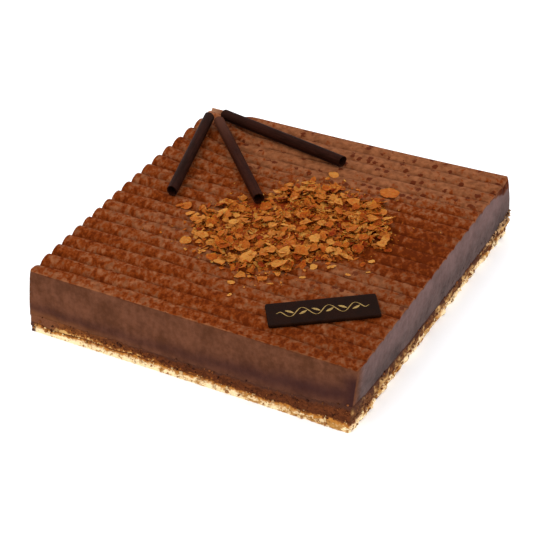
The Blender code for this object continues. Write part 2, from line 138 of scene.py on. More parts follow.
# Where the cocoa lies thick or thin: centre, reach and strength, in millimetres and shares.
COCOA_EVEN = 0.53
COCOA_PLACES = (
    ((-95, 0), (26, 90), 0.06),
    ((-30, -80), (75, 14), 0.10),
    ((82, 12), (36, 26), 0.50),
    ((65, -90), (60, 10), 0.24),
    ((-60, 25), (25, 30), 0.06),
    ((60, 92), (70, 34), -0.44),
    ((-20, 88), (50, 34), -0.50),
    ((30, 62), (50, 12), -0.14),
    ((-34, 50), (14, 14), -0.12),
    ((-55, -22), (18, 8), -0.22),
    ((12, -56), (28, 8), -0.14),
    ((66, -32), (36, 14), -0.16),
    ((92, -55), (14, 26), 0.10),
    ((-90, 96), (14, 9), -0.55),
)
COCOA_SLOPE = 0.06  # more cocoa on the near slopes of the ridges
COCOA_BANDS = 0.22  # and more on some ridges than on others
COCOA_BAND_LENGTHS = np.array((60, 11, 11)) * MM
COCOA_EDGE = 0.6 * MM  # its uneven edge at the rim
COCOA_EDGE_LENGTH = 2.5 * MM
COCOA_EDGE_FADE = 0.5 * MM
COCOA_EDGE_LEAST = 0.4
STREAK_TURN = math.radians(30.0)  # the cocoa's streaks lean this far off straight across

# The chocolate sticks.
STICK_RADIUS = 3.75 * MM
STICK_SHEET = 0.55 * MM
STICK_PITCH = 0.66 * MM
STICK_TURNS = 1.22
STICK_START = 4.0  # where the sheet's outer edge lies, in radians
STICK_SLANT = 0.12
STICK_SWELL = 0.02
STICK_SWELL_LENGTHS = np.array((5, 5, 14)) * MM
STICK_CHIPS = 0.45 * MM  # at the broken ends
STICK_CHIP_LENGTH = 1.6 * MM
STICK_POINTS = 84
STICK_RINGS = 70
SHARP_EDGE = math.radians(50.0)  # edges sharper than this aren't smoothed
STICKS_MM = {
    "stick_left": ((-91.5, 83.3), (-66.9, -1.1)),
    "stick_middle": ((-83.0, 81.2), (-17.0, 13.3)),
    "stick_right": ((-84.0, 89.8), (8.6, 70.2)),
}

# The plaque.
PLAQUE_SIZE = Vector((59.0, 19.5, 1.8)) * MM
PLAQUE_CENTRE = Vector((63.8, -63.4)) * MM
PLAQUE_TURN = math.radians(35.0)
PLAQUE_CORNER = 1.4 * MM
PLAQUE_CORNER_STEPS = 6
PLAQUE_EDGE_MM = (  # inset and height, from the underside up
    (0.35, 0.0), (0.08, 0.12), (0.0, 0.35), (0.0, 1.3), (0.1, 1.6), (0.4, 1.77), (1.0, 1.8))

# The ornament on it: a waved stem with a pointed leaf in each bend.
VINE_LENGTH = 49.0 * MM
VINE_HEIGHT = 3.4 * MM
VINE_PITCH = 14.0 * MM
VINE_BENDS = 6
VINE_STEPS = 120
VINE_WIDTHS = (0.25 * MM, 0.6 * MM)
VINE_FADE = 4.0 * MM
LEAF_STEPS = 14
LEAF_WIDTHS = (0.05 * MM, 1.55 * MM)
LEAF_ALONG = (-2.2 * MM, 2.4 * MM)
LEAF_ACROSS = (-1.9 * MM, 0.9 * MM)
LEAF_BEND = 1.4
PRINT_THICK = 0.10 * MM
PRINT_SINK = 0.02 * MM

# The heap of wafer flakes.
HEAP_CENTRE = np.array((11.5, 0.0)) * MM
HEAP_REACH = 50.0 * MM
HEAP_LOBES = ((2, 0.15, 0.22), (4, 0.08, 0.84))
HEAP_RISE = 2.6 * MM
HEAP_CORE = 0.92
CORE_RINGS = 34
CORE_SPOKES = 120
CORE_LUMPS = 1.2 * MM
CORE_LUMP_LENGTH = 2.6 * MM
CORE_DROP = 1.4 * MM  # the core's crest under the heap's
CORE_SINK = (0.2 * MM, 0.8 * MM)  # its skirt and its underside in the mousse
CORE_TONE = 0.08
PILE_CELL = 0.8 * MM  # the height map that the flakes are dropped on
PILE_REACH = 110.0 * MM
PILE_DROP = 1.2 * MM
PILE_REST = 80  # a flake rests on this percentile of what is under it
FLAKE_THICK = 0.25 * MM
FLAKE_STEP = 1.2  # what a flake adds to the pile, in thicknesses
FLAKE_REST = 0.8  # how much of its size it rests on
FLAKE_SETTLE = 0.5  # how far it leans with the pile's slope
FLAKE_RAISE = 0.16  # what its own lean raises it by, in sizes
FLAKE_INNER = 0.62  # its inner ring of points, over its outer one
FLAKE_OUTER = 1.05  # the most that its edge stands out
FLAKE_TURN = 0.33  # how unevenly the points of its edge are spaced
FLAKE_BOW = (0.02, 0.15)  # middle and spread, in sizes
FLAKE_TWIST = 0.12
FLAKE_CRUMPLE = 0.025
FLAKE_NARROW = (0.5, 1.0)
FLAKE_TONES = (2.0, 2.4)  # the two powers of a beta spread
FLAKE_SHARP = math.radians(38.0)
UNDERSIDE_SHADE = 0.15  # painted shade: the undersides are darker and redder
RAGGED = 0.39  # how unevenly the flakes' edges are broken
HEAP_EDGE = 0.93  # where the random flakes thin out, in heap reaches
# Random flakes: how many, smallest and largest size in millimetres and its power, how far out
# they lie at most in heap reaches, how sharply they thin out, and their corners and tilt.
HEAP_KINDS = {
    "wafer_flakes": (1300, 1.6, 8.0, 1.7, 1.35, 18, 9, 0.28),
    "wafer_crumbs": (900, 0.6, 2.2, 2.0, 1.6, 9, 5, 0.45),
    "loose_flakes": (85, 5.5, 9.0, 1.3, 1.2, 30, 12, 0.22),
}
# The flakes that stand out in the photograph: x, y and size, width over length, and paleness.
SHOWN_FLAKES_MM = (
    (0.5, 41.8, 10, 0.35, 0.75), (6, 35.4, 10.5, 0.7, 0.6), (14, 30.5, 8.5, 0.5, 0.55),
    (13.5, 40, 7, 0.9, 0.35), (-0.6, 29.3, 6, 0.8, 0.3), (13, 7.7, 7, 0.7, 0.6),
    (-18, -14.4, 7, 0.7, 0.95), (-14.5, -10.9, 9, 0.7, 0.6),
    (-43.7, -13.7, 5.5, 0.6, 0.8), (-36.7, -21, 6, 0.4, 0.6),
    (-29.5, -30.1, 9.5, 0.6, 0.7), (-28.3, -22.1, 5, 0.7, 0.9),
    (-13.1, -34.2, 9, 0.8, 0.25), (6.3, -40.2, 11.5, 0.85, 0.8),
    (24.2, -37.8, 11.5, 0.8, 0.75), (30, -22.7, 10, 0.7, 0.5),
    (20.8, -19, 10, 0.9, 0.4), (31.4, -9.6, 8, 0.9, 0.85), (42.5, -15.1, 5.5, 0.8, 0.95),
    (43.7, -7.3, 7, 0.8, 0.3), (53.3, -14.3, 10, 0.4, 0.7), (40.5, -29.2, 6, 0.8, 0.95),
    (49.5, -24.9, 8, 0.35, 0.9), (65.7, 8.5, 9, 0.6, 0.7), (54.5, 4.1, 8, 0.8, 0.35),
    (54.8, 14.3, 9, 0.4, 0.5), (50.8, 23.6, 7, 0.8, 0.65), (53.4, 32.4, 7, 0.7, 0.6),
    (26.8, 28.5, 8, 0.8, 0.8), (33, 35.3, 10, 0.8, 0.6), (45.4, 8, 9, 0.8, 0.4),
    (-30, -8.7, 6, 0.7, 0.6), (-35.8, -37.6, 7, 0.9, 0.7), (-7, -48.2, 8, 0.7, 0.75),
    (-2.4, -43.4, 8, 0.7, 0.65),
)
STRAY_FLAKES_MM = (
    (46.3, 56, 12, 0.9, 0.48), (7.8, 60.2, 7.5, 0.8, 0.75), (-54.3, -6, 8, 0.8, 0.45),
    (7.2, -60.9, 4.5, 0.8, 0.8), (12, -71.2, 3.5, 0.6, 0.85), (66.9, -11.4, 4.2, 0.7, 1),
    (69.5, -20.8, 3, 0.4, 1), (60.7, -27.6, 3.2, 0.5, 0.9), (39.6, -40.2, 4, 0.5, 1),
    (26.7, -53, 4, 0.3, 0.7), (-57.7, -7.5, 5, 0.7, 0.4), (-47.5, -13, 6, 0.6, 0.75),
)
# These flakes with their corners, tilt and raggedness.
PLACED_KINDS = {
    "shown_flakes": (SHOWN_FLAKES_MM, 14, 0.16, RAGGED),
    "stray_flakes": (STRAY_FLAKES_MM, 24, 0.03, 0.12),
}

# Crumbs stuck on the sides.
CRUMB_SINK = 0.35
CRUMB_POWER = 2.5  # over 1 there are more small ones
CRUMB_STRETCH = (0.5, 1.25)
CRUMB_DENT = 0.22
CRUMB_CLEAR = 0.02 * MM  # over the table
CRUMBS_TO = 0.985  # how near a corner they come, in half sides
CORNER_CRUMBS_FROM = 0.66  # those on the right side's mousse, in half sides
CORNER_CRUMBS_RISE = 5.0 * MM
CORNER_CRUMBS_POWER = 1.3

# The camera, worked out from the corners of the top in the photograph.
CAMERA_TARGET = Vector((-8.089, 7.148, 0.0)) * MM
CAMERA_AZIMUTH = math.radians(30.3565)
CAMERA_ELEVATION = math.radians(35.2953)
CAMERA_ROLL = math.radians(-2.8525)
CAMERA_DISTANCE = 897.66 * MM
CAMERA_LENS = 101.773
CAMERA_SENSOR = 36.0

# The lights: place and aim in millimetres, width, power and colour.
LIGHTS = {
    "key": ((-750, 350, 1000), (0, 0, 30), 1.2, 3.6, (1.0, 0.96, 0.90)),
    "fill": ((-200, -900, 500), (0, 0, 20), 0.9, 2.5, (1.0, 0.97, 0.93)),
    "cool": ((900, -100, 260), (80, 0, 25), 0.7, 2.8, (0.86, 0.92, 1.0)),
}


def lerp(start, end, share):
    return start + (end - start) * share


def ease(share):
    """A smooth step from 0 to 1."""
    share = np.clip(share, 0.0, 1.0)
    return share * share * (3 - 2 * share)


def noise_field(points, lengths, shift=0.0):
    """Smooth noise from -1 to 1 at every point."""
    places = np.asarray(points) / lengths + shift
    return np.array([noise.noise(place) for place in places.reshape(-1, 3).tolist()]).reshape(
        places.shape[:-1])


def wave_field(points, waves):
    """The sum of several noises, each with its size, length and shift."""
    return sum(size * noise_field(points, length, shift) for size, length, shift in waves)


def crumb_field(points, length, shift=0.0):
    """Rounded lumps of about the given size, from 0 at their seams to 1 on top."""
    places = (np.asarray(points) / length + shift).reshape(-1, 3).tolist()
    near = np.array([noise.voronoi(place)[0][:2] for place in places])
    return np.clip((near[:, 1] - near[:, 0]) * LUMP_SEAMS, 0, 1).reshape(points.shape[:-1])


# ---- pieces ----

def piece(name, points, faces, look, replaces=(), slot=None, sharp=math.pi, **values):
    """A mesh object that rides on the cake, with a value for each point under each name."""
    mesh = bpy.data.meshes.new(name)
    mesh.from_pydata(np.asarray(points).reshape(-1, 3).tolist(), [], faces)
    mesh.validate()
    for label, numbers in values.items():
        layer = mesh.attributes.new(label, "FLOAT", "POINT")
        layer.data.foreach_set("value", np.asarray(numbers, dtype=np.float32).ravel())
    mesh.materials.append(look)
    mesh.polygons.foreach_set("use_smooth", [sharp > 0] * len(mesh.polygons))
    if 0 < sharp < math.pi:
        mesh.set_sharp_from_angle(angle=sharp)
    obj = bpy.data.objects.new(name, mesh)
    bpy.context.scene.collection.objects.link(obj)
    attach(obj, "root")
    if replaces:
        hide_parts(*replaces)
    return obj


def ring_faces(count, low, high):
    """Quads between two closed rings of points, whose first points have the given numbers."""
    return [(low + i, low + (i + 1) % count, high + (i + 1) % count, high + i)
            for i in range(count)]


def shifted(faces, first):
    """The same faces, on points whose numbers start at first."""
    return [tuple(first + i for i in face) for face in faces]


def stack_faces(count, rings, caps=True):
    """The sides of a stack of closed rings of points, and flat faces at both its ends."""
    faces = []
    for i in range(rings - 1):
        faces += ring_faces(count, i * count, (i + 1) * count)
    if caps:
        faces.append(list(range(count))[::-1])
        faces.append(list(range((rings - 1) * count, rings * count)))
    return faces


def sheet_caps(count, last):
    """The two ends of a stack whose rings run out along a sheet and back."""
    caps = [(i, i + 1, count - 2 - i, count - 1 - i) for i in range(count // 2 - 1)]
    return caps + shifted([cap[::-1] for cap in caps], last)


# ---- the block's outline ----

def among_corners(corners, u, v):
    weights = np.stack([(1 - u) * (1 - v), (1 + u) * (1 - v), (1 + u) * (1 + v),
                        (1 - u) * (1 + v)], axis=-1) / 4
    return weights @ corners


def round_corner(u, v):
    """Draw the corners of the square in to quarter circles."""
    start = 1 - CORNER_ROUND
    du = np.maximum(np.abs(u) - start, 0)
    dv = np.maximum(np.abs(v) - start, 0)
    both = (du > 0) & (dv > 0)
    shrink = np.where(both, np.maximum(du, dv) / np.maximum(np.hypot(du, dv), 1e-9), 1.0)
    new_u = np.where(both, np.sign(u) * (start + du * shrink), u)
    new_v = np.where(both, np.sign(v) * (start + dv * shrink), v)
    return new_u, new_v


def place(u, v, z):
    """Points of the leaning block at (u, v), each -1 to 1, and height z."""
    u, v = round_corner(u, v)
    foot = among_corners(FOOT_CORNERS, u, v)
    top = among_corners(TOP_CORNERS, u, v)
    share = (z / HEIGHT)[..., None]
    flat = lerp(foot, top, share) + among_corners(BELLY, u, v) * (4 * share * (1 - share))
    flat[..., 0] -= LEFT_BOW * (1 - u) / 2 * (1 - v * v)
    flat[..., 1] -= BACK_BOW * ((1 + v) / 2) ** BACK_BOW_POWER * (1 - u * u)
    return np.concatenate([flat, z[..., None]], axis=-1)


def outline(steps):
    """u and v round the block's edge, anticlockwise from its front left corner."""
    start = 1 - CORNER_ROUND
    side = np.concatenate([[-1.0], np.linspace(-start, start, steps + 1)])
    fixed = np.ones_like(side)
    u = np.concatenate([side, fixed, -side, -fixed])
    v = np.concatenate([-fixed, side, fixed, -side])
    return u, v


def outward(u, v):
    """The way out of the block in plan, at its edge."""
    way = np.stack([np.where(np.abs(t) >= SIDE_FROM, t, 0) for t in (u, v)], -1)
    return way / np.maximum(np.linalg.norm(way, axis=-1, keepdims=True), 1e-9)


def on_right(u):
    """1 on the right side, and 0 away from it."""
    return np.clip((u - SIDE_FROM) / (1 - SIDE_FROM), 0, 1)


def foot_corner(u, v):
    """The place in plan of a corner of the foot."""
    return place(np.array(u), np.array(v), np.array(0.0))[:2]


# ---- the two lower layers ----

def layer_wave(u, v, size, shift):
    points = place(u, v, np.zeros_like(u))
    return size * noise_field(points, WAVE_LENGTH, np.array((shift, -shift, 2 * shift)))


def table_height(u, v):
    return np.zeros_like(u)


def sponge_height(u, v):
    return SPONGE_TOP + layer_wave(u, v, *SPONGE_WAVE)


def crisp_foot(u, v):
    return sponge_height(u, v) + GAP


def crisp_height(u, v):
    off = place(u, v, np.zeros_like(u))[..., :2] - foot_corner(1.0, -1.0)
    rise = CRISP_RISE * np.exp(-np.linalg.norm(off, axis=-1) / CRISP_RISE_REACH)
    return CRISP_TOP + rise + layer_wave(u, v, *CRISP_WAVE)


def craggy_layer(name, low, high, crag, lumps, smear_reach, look, node, slot):
    """A layer whose side is a crumbly strip between two heights, closed above and below."""
    u, v = outline(LAYER_STEPS)
    way = outward(u, v)
    right = on_right(u)
    shares = np.linspace(0, 1, LAYER_LEVELS)
    rings = []
    for share in shares:
        points = place(u, v, lerp(low(u, v), high(u, v), share))
        coarse, fine = crumb_field(points, lumps[0], 3.0), crumb_field(points, lumps[1], 9.0)
        bulk = LUMP_SHARE * (lerp(coarse, fine, FINE_SHARE) - 0.5)
        drift = DRIFT_SHARE * noise_field(points, 3 * lumps[0], 5.0)
        crags = RIGHT_CRAG * noise_field(points, RIGHT_CRAG_LENGTH, 7.0) + RIGHT_OUT
        out = crag * (bulk + drift) + right * crags
        out *= math.sin(math.pi * lerp(*CRAG_SWELL, share))
        points[:, :2] += way * out[:, None]
        rings.append(points)
    off = np.linalg.norm(np.array(rings)[..., :2] - foot_corner(-1.0, -1.0), axis=-1)
    smear = 1 - ease(off / smear_reach * 2 - 1)
    inwards = np.array((1 - LAYER_INSET / HALF_SIDE,) * 2 + (1,))
    rings = [rings[0] * inwards] + rings + [rings[-1] * inwards]
    return piece(name, np.array(rings), stack_faces(len(u), len(rings)), look, (node,), slot,
                 smear=np.pad(smear, ((1, 1), (0, 0)), "edge"), right=np.tile(right, len(rings)),
                 high=np.repeat(np.pad(shares, 1, "edge"), len(u)))


# ---- the mousse ----

def across(x):
    return (x - TOP_CORNERS[0, 0]) / (2 * HALF_SIDE)


def comb_line(x, number, fine=True):
    """The y of a groove at x."""
    share = across(x)
    line = lerp(*COMB_FIRST, share) + lerp(*COMB_PITCH, share) * number
    line += lerp(*COMB_DRIFT, share) * math.sin(math.pi * number / (COMB_LINES - 1))
    line += COMB_WOBBLE * np.sin(x / COMB_WOBBLE_LENGTH * math.tau + COMB_WOBBLE_STEP * number)
    near = np.clip(1 - share * 2 * HALF_SIDE / COMB_BEND_REACH, 0, 1)
    line += COMB_BEND * max(number - COMB_BEND_FROM, 0.0) ** 2 * near ** COMB_BEND_POWER
    if fine:
        places = np.stack([x / COMB_SHAKE_LENGTH, np.full_like(x, 7.3 * number), 0 * x], -1)
        line += COMB_SHAKE * noise_field(places, 1.0)
    return np.minimum(line, TOP_CORNERS[3, 1] - COMB_CROWD * (COMB_LINES - number))


def ridge_profile(x, y, number, low, high):
    """The height of the ridge past groove `number`, and how far across it each point lies."""
    if number < 0:
        low = high - END_RIDGE
    if number + 1 == COMB_LINES:
        high = low + END_RIDGE
    half = (high - low) / 2
    depth = COMB_DEPTH + COMB_DEEPER * np.exp(-across(x) * 2 * HALF_SIDE / COMB_DEEPER_REACH)
    depth = np.minimum(depth, RIDGE_STEEPEST * (high - low))
    radius = (half * half + depth ** 2) / (2 * depth)
    off = np.minimum(np.abs(y - (low + high) / 2), half)
    arc = radius - np.sqrt(radius ** 2 - off ** 2)
    flat = depth * (off / half) ** 4
    drop = lerp(arc, flat, RIDGE_FLATNESS * ease(across(x) * 4))
    return HEIGHT - drop, np.clip((y - low) / (high - low), 0, 1)


def ridge_rows():
    """The rows of the top's grid: the number of the ridge each lies on, and how far across."""
    even = np.linspace(0, 1, RIDGE_STEPS + 1)
    rows = [(-1, share) for share in even[:-1] ** RIM_CROWD]
    for number in range(COMB_LINES - 1):
        rows += [(number, share) for share in even[:-1]]
    return rows + [(COMB_LINES - 1, share) for share in 1 - (1 - even) ** RIM_CROWD]


def top_grid():
    """u, v, height and share across its ridge for each point of the combed top."""
    front = TOP_CORNERS[0, 1]
    back = TOP_CORNERS[3, 1]
    edge = RIM_COLUMNS / HALF_SIDE
    middle = 1 - RIM_CLEAR / HALF_SIDE
    u = np.concatenate([-1 + edge, np.linspace(-middle, middle, TOP_COLUMNS), (1 - edge)[::-1]])
    x = place(u, 0 * u, np.full_like(u, HEIGHT))[:, 0]
    lines = {number: comb_line(x, number) for number in range(COMB_LINES + 1)}
    lines[-1] = np.full_like(x, front)
    rows = []
    for number, share in ridge_rows():
        low, high = lines[number], lines[number + 1]
        end = high if number + 1 < COMB_LINES else back
        y = lerp(low, end, share)
        rows.append((u, (y - front) / (back - front) * 2 - 1,
                     *ridge_profile(x, y, number, low, high)))
    return np.array(rows).transpose(1, 0, 2)


def cocoa_cover(points, share, inset):
    """How much of the top the cocoa covers near each point, from 0 to 1."""
    cover = np.full(points.shape[:-1], COCOA_EVEN)
    for centre, reach, strength in COCOA_PLACES:
        off = (points[..., :2] / MM - centre) / reach
        cover += strength * np.exp(-(off ** 2).sum(-1))
    cover += COCOA_SLOPE * np.cos(share * math.pi)
    cover += COCOA_BANDS * noise_field(points, COCOA_BAND_LENGTHS, 5.0)
    ragged = inset + COCOA_EDGE * noise_field(points, COCOA_EDGE_LENGTH, 3.0)
    return cover * ease(ragged / COCOA_EDGE_FADE + COCOA_EDGE_LEAST)


def rim_numbers(rows, columns):
    """The grid's edge points, anticlockwise from the front left corner."""
    grid = np.arange(rows * columns).reshape(rows, columns)
    return np.concatenate([grid[0, :-1], grid[:-1, -1], grid[-1, :0:-1], grid[:0:-1, 0]])


def combed_top(u, v, z):
    """The points of the combed top, and how far each lies from the rim."""
    points = place(u, v, z)
    inset = np.minimum(1 - np.abs(u), 1 - np.abs(v)) * HALF_SIDE
    relief = wave_field(points, TOP_WAVES)
    slump = RIM_ROUND + RIM_SLUMP * ease(2 * v - 1) * (u >= np.abs(v))
    near = np.clip(1 - inset / slump, 0, 1)
    points[..., 2] += relief * ease(inset / RELIEF_FADE) - slump * (1 - np.sqrt(1 - near ** 2))
    return points, inset


def mousse_walls(u, v, high):
    """The rings of points down the walls, and what the look needs to know of each point."""
    foot = crisp_height(u, v) - WALL_SINK
    way = outward(u, v)
    side = on_right(u)
    cap = CAP_REACH * ease((v - 0.7) / 0.3) * side
    front = ease((u + 0.4) / 1.3)
    left = 1 - ease((u + 0.9) / 0.8)
    corner = CORNER_SHADE * ease(1 - (1 - u) * HALF_SIDE / CORNER_SHADE_REACH)
    rows = {label: [] for label in ("ring", "top", "band", "warm", "depth")}
    for share in np.linspace(0, 1, WALL_LEVELS + 1)[1:] ** WALL_CROWD:
        ring = place(u, v, lerp(high, foot, share))
        ring[:, :2] += way * (wave_field(ring, WALL_WAVES) * ease(share * 6))[:, None]
        shake = noise_field(ring, WALL_SHAKE_LENGTH, 2.0)
        down = high - ring[:, 2] - cap * (1 + 0.5 * shake)
        above = ring[:, 2] - foot + BAND_SHAKE * shake
        # Painted shade: a dark band above the foot, and darkening towards the front right corner.
        off = (above - lerp(*BAND_HEIGHT, front)) / lerp(*BAND_REACH, front)
        band = np.maximum(np.exp(-off ** 2) * lerp(*BAND_STRENGTH, front),
                          corner * ease(share * 2.5))
        rows["ring"].append(ring)
        rows["top"].append(1 - ease((down + 0.3 * MM * shake) / CAP_FADE))
        rows["band"].append(band * (1 - side))
        rows["warm"].append(left * ease(1 - above / WARM_FOOT) * (1 - side))
        rows["depth"].append(np.clip((high - ring[:, 2]) / (high - foot), 0, 1))
    # Painted reflection: a cool sheen on the right wall, past a strip at its front corner.
    cool = side * ease((v + 1) * HALF_SIDE / COOL_REACH)
    return {label: np.array(values) for label, values in rows.items()}, cool


def build_mousse(look):
    """The combed top and, past its grid of points, the walls."""
    u, v, z, share = top_grid()
    points, inset = combed_top(u, v, z)
    rows, columns = u.shape
    rim = rim_numbers(rows, columns)
    walls, cool = mousse_walls(u.ravel()[rim], v.ravel()[rim], points.reshape(-1, 3)[rim, 2])
    faces = []
    for start in range(0, (rows - 1) * columns, columns):
        faces += [(start + i, start + i + 1, start + columns + i + 1, start + columns + i)
                  for i in range(columns - 1)]
    count = len(rim)
    first = rows * columns
    faces += [(rim[i], first + i, first + (i + 1) % count, rim[(i + 1) % count])
              for i in range(count)]
    last = first + (WALL_LEVELS - 1) * count
    for low in range(first, last, count):
        faces += [face[::-1] for face in ring_faces(count, low, low + count)]
    faces.append(list(range(last, last + count))[::-1])
    values = {
        "cocoa": (cocoa_cover(points, share, inset), WALL_COCOA),
        "groove": (np.abs(2 * share - 1) ** GROOVE_SHARPNESS, CAP_SHADE),
        "top": (1.0, walls["top"]),
        "band": (0.0, walls["band"]),
        "warm": (0.0, walls["warm"]),
        "depth": (0.0, walls["depth"]),
        "cool": (0.0, cool),
    }
    spread = {label: np.concatenate([np.broadcast_to(top, u.shape).ravel(),
                                     np.broadcast_to(wall, walls["top"].shape).ravel()])
              for label, (top, wall) in values.items()}
    everything = np.concatenate([points.reshape(-1, 3), walls["ring"].reshape(-1, 3)])
    return piece("mousse_block", everything, faces, look, ("chocolate_mousse",), "mousse",
                 **spread)


# ---- the wafer flakes ----

def comb_height(x, y):
    """The height of the combed top at points in plan, without its fine relief."""
    height = np.full_like(x, HEIGHT - COMB_DEPTH)
    for number in range(-1, COMB_LINES):
        low, high = (comb_line(x, line, False) for line in (number, number + 1))
        ridge = ridge_profile(x, y, number, low, high)[0]
        height = np.where((y >= low) & (y < high), ridge, height)
    return height


def heap_outline(turn):
    """The heap's uneven edge, in heap reaches."""
    return 1 + sum(size * np.sin(count * turn + start) for count, size, start in HEAP_LOBES)


def heap_share(x, y):
    """0 in the middle of the heap, 1 at its edge."""
    off_x = x - HEAP_CENTRE[0]
    off_y = y - HEAP_CENTRE[1]
    return np.hypot(off_x, off_y) / HEAP_REACH / heap_outline(np.arctan2(off_y, off_x))


def heap_crest(x, y, drop):
    """The share and the height of the mound of the heap's core."""
    share = heap_share(x, y) / HEAP_CORE
    return share, HEIGHT + HEAP_RISE * np.clip(1 - share ** 2, 0, 1) - drop


def heap_core(look):
    """The heap under its loose flakes: a low mound with relief."""
    turn = np.arange(CORE_SPOKES) * math.tau / CORE_SPOKES
    reach = np.linspace(0, HEAP_CORE * HEAP_REACH, CORE_RINGS + 1)[:, None] * heap_outline(turn)
    x = (HEAP_CENTRE[0] + reach * np.cos(turn)).ravel()
    y = (HEAP_CENTRE[1] + reach * np.sin(turn)).ravel()
    points = np.column_stack([x, y, 0 * x])
    share, crest = heap_crest(x, y, CORE_DROP)
    crest += crumb_field(points, CORE_LUMP_LENGTH, 1.0) * CORE_LUMPS
    floor = comb_height(x, y) - CORE_SINK[0]
    points[:, 2] = lerp(np.maximum(crest, floor), floor, ease(share * 6 - 5))
    points = np.concatenate([points, points[-CORE_SPOKES:] - (0, 0, CORE_SINK[1])])
    faces = stack_faces(CORE_SPOKES, CORE_RINGS + 2, False)
    faces.append(list(range(len(points) - CORE_SPOKES, len(points)))[::-1])
    return piece("heap_core", points, faces, look, ("flake_heap",), "wafer",
                 tone=np.full(len(points), CORE_TONE))


class Pile:
    """A height map that thin plates are dropped on, one after another."""

    def __init__(self):
        steps = (np.arange(int(2 * PILE_REACH / PILE_CELL)) + 0.5) * PILE_CELL - PILE_REACH
        x, y = np.meshgrid(steps, steps, indexing="ij")
        share, crest = heap_crest(x, y, PILE_DROP)
        self.z = np.maximum(comb_height(x, y), np.where(share < 1, crest, 0))

    def drop(self, x, y, size, rise):
        """The height and slopes at which a plate comes to rest; the pile grows by rise."""
        reach = max(1, int(size / 2 / PILE_CELL))
        i, j = (int((t + PILE_REACH) / PILE_CELL) for t in (x, y))
        patch = self.z[i - reach:i + reach + 1, j - reach:j + reach + 1]
        rest = float(np.percentile(patch, PILE_REST))
        slopes = np.gradient(patch)
        np.maximum(patch, rest + rise, out=patch, where=patch < rest + rise)
        return rest + rise / 2, float(np.mean(slopes[0])), float(np.mean(slopes[1]))


def flake_points(rng, size, corners, narrow, ragged):
    """The points of one bowed plate with a broken edge, lying flat round the origin."""
    bow = rng.normal(*FLAKE_BOW)
    crumple = ragged / RAGGED
    shifts = rng.uniform(-FLAKE_TURN, FLAKE_TURN, corners)
    turns = (np.arange(corners) + shifts) * math.tau / corners
    reach = size / 2 * rng.uniform(FLAKE_OUTER - ragged, FLAKE_OUTER, corners)
    edge = np.stack([np.cos(turns) * reach, np.sin(turns) * reach * narrow], -1)
    flat = np.concatenate([[(0.0, 0.0)], edge * FLAKE_INNER, edge])
    axis = rng.uniform(0, math.tau)
    along = (flat[:, 0] * math.cos(axis) + flat[:, 1] * math.sin(axis)) / (size / 2)
    side = (flat[:, 1] * math.cos(axis) - flat[:, 0] * math.sin(axis)) / (size / 2)
    lift = size * (bow * along ** 2 + rng.uniform(-FLAKE_TWIST, FLAKE_TWIST) * along * side)
    lift = crumple * (lift + rng.normal(0, FLAKE_CRUMPLE, len(flat)) * size)
    return np.concatenate([np.column_stack([flat, lift + half])
                           for half in (FLAKE_THICK / 2, -FLAKE_THICK / 2)])


def flake_faces(corners):
    """Triangles and quads of such a plate."""
    under = 2 * corners + 1
    faces = []
    for i in range(corners):
        j = (i + 1) % corners
        inner, inner_next = 1 + i, 1 + j
        outer, outer_next = 1 + corners + i, 1 + corners + j
        faces.append((0, inner, inner_next))
        faces.append((inner, outer, outer_next, inner_next))
        faces.append((under, under + inner_next, under + inner))
        faces.append((under + inner, under + inner_next, under + outer_next, under + outer))
        faces.append((outer, under + outer, under + outer_next, outer_next))
    return faces


def scatter_flakes(name, spots, corners, tilt, ragged, pile, rng, look):
    """Drop a plate at each (x, y, size, narrow, tone) and join them all into one piece."""
    template = flake_faces(corners)
    # Painted shade: the underside of each flake gets a darker, redder tone.
    shade = np.repeat((1.0, UNDERSIDE_SHADE), 2 * corners + 1)
    points, faces, tones = [], [], []
    for x, y, size, narrow, tone in spots:
        plate = flake_points(rng, size, corners, narrow, ragged)
        rest, slope_x, slope_y = pile.drop(x, y, size * FLAKE_REST, FLAKE_THICK * FLAKE_STEP)
        lean = rng.normal(0, tilt, 2)
        lean_x = math.atan2(slope_y, PILE_CELL) * FLAKE_SETTLE + lean[0]
        lean_y = -math.atan2(slope_x, PILE_CELL) * FLAKE_SETTLE + lean[1]
        spin = Matrix.Rotation(rng.uniform(0, math.tau), 3, "Z")
        turn = Matrix.Rotation(lean_x, 3, "X") @ Matrix.Rotation(lean_y, 3, "Y") @ spin
        raised = rest + abs(math.sin(math.hypot(*lean))) * size * FLAKE_RAISE
        faces += shifted(template, len(points) * len(plate))
        points.append(plate @ np.array(turn).T + np.array((x, y, raised)))
        tones.append(shade * tone)
    edge = np.repeat((0.0, 0.5, 1.0) * 2, (1, corners, corners) * 2)
    return piece(name, np.array(points), faces, look, (), "wafer", FLAKE_SHARP,
                 tone=np.array(tones), edge=np.tile(edge, len(spots)))


def near_stick(x, y, reach):
    point = Vector((x, y))
    for far, near in STICKS_MM.values():
        far = Vector(far) * MM
        along = Vector(near) * MM - far
        share = min(max((point - far).dot(along) / along.length_squared, 0.0), 1.0)
        if (point - far - along * share).length < STICK_RADIUS + reach:
            return True
    return False


def heap_spots(rng, count, small, large, power, spread, edge):
    """Random (x, y, size, narrow, tone) over the heap, thinning out past its edge."""
    spots = []
    while len(spots) < count:
        x, y = HEAP_CENTRE + HEAP_REACH * rng.uniform(-spread, spread, 2)
        share = float(heap_share(np.array(x), np.array(y)))
        if rng.random() > 1 / (1 + math.exp((share - HEAP_EDGE) * edge)):
            continue
        size = lerp(small, large, rng.random() ** power) * MM
        if near_stick(x, y, size / 2):
            continue
        spots.append((x, y, size, rng.uniform(*FLAKE_NARROW), rng.beta(*FLAKE_TONES)))
    return spots


